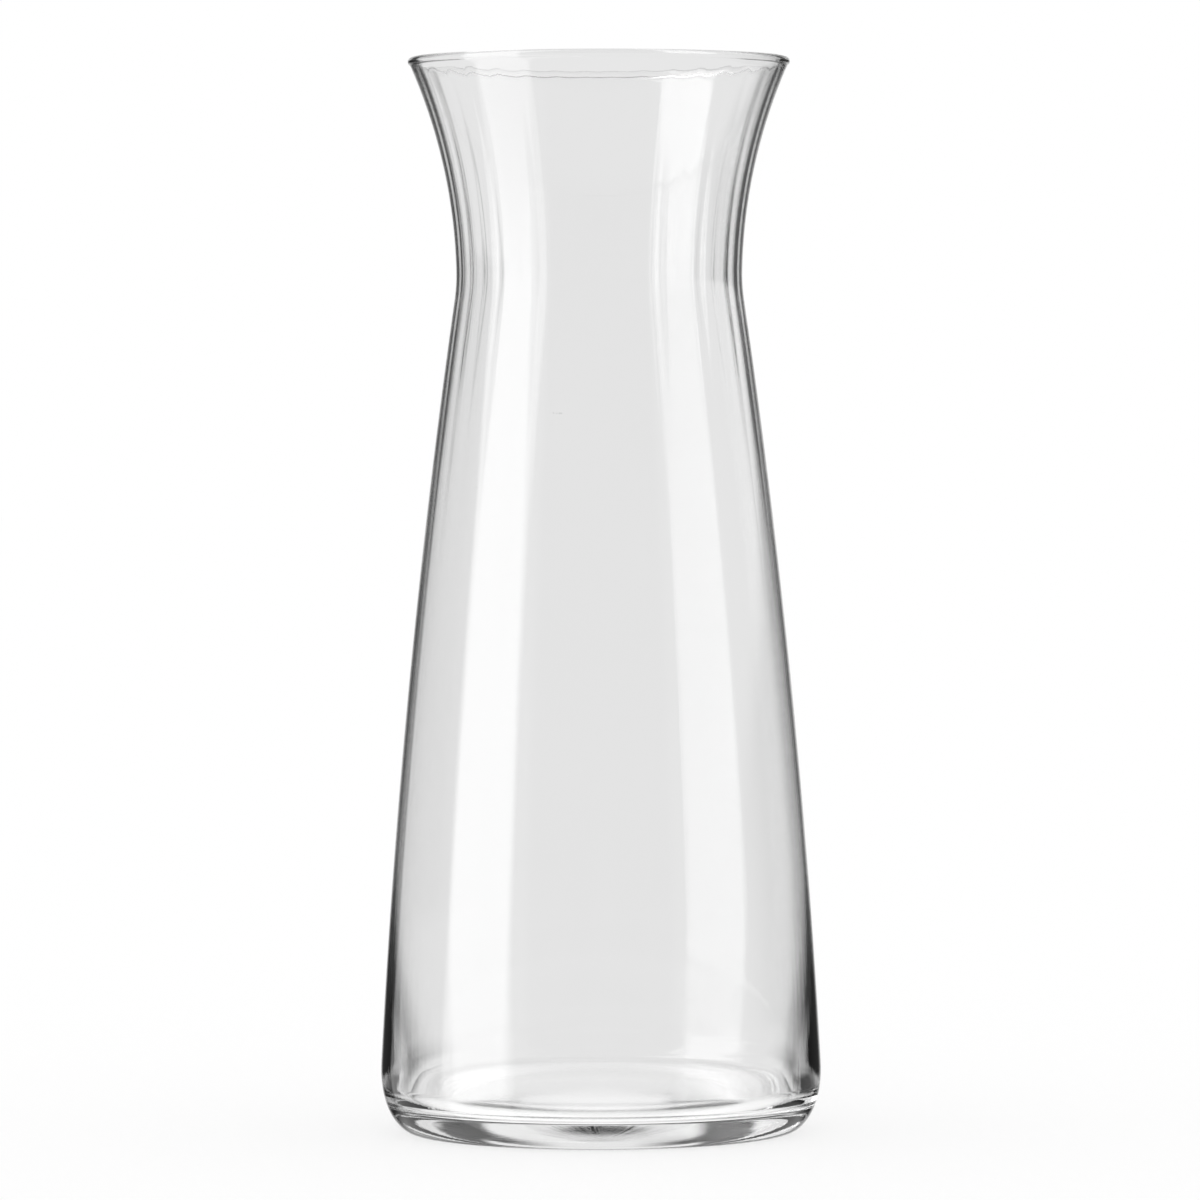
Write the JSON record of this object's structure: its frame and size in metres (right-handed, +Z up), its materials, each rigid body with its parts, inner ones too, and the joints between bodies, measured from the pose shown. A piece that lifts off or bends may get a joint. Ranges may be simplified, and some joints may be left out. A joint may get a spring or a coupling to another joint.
{
  "type": "glass carafe",
  "caption": "Clear glass carafe with a heavy rounded base, a gently tapering body, a narrow waist and a wide flared mouth, for holding and pouring drinks.",
  "frame": {"origin": "centre of the base, on the plane that the carafe stands on", "axes": "+Z up along the axis of the turned shape, and the middle of one flute faces -Y"},
  "size_m": [0.1026, 0.1026, 0.25],
  "materials": {
    "clear_glass": "clear, polished, smooth outside with shallow upright flutes inside"
  },
  "bodies": {
    "root": {"glass_body": "clear_glass"}
  },
  "joints": []
}
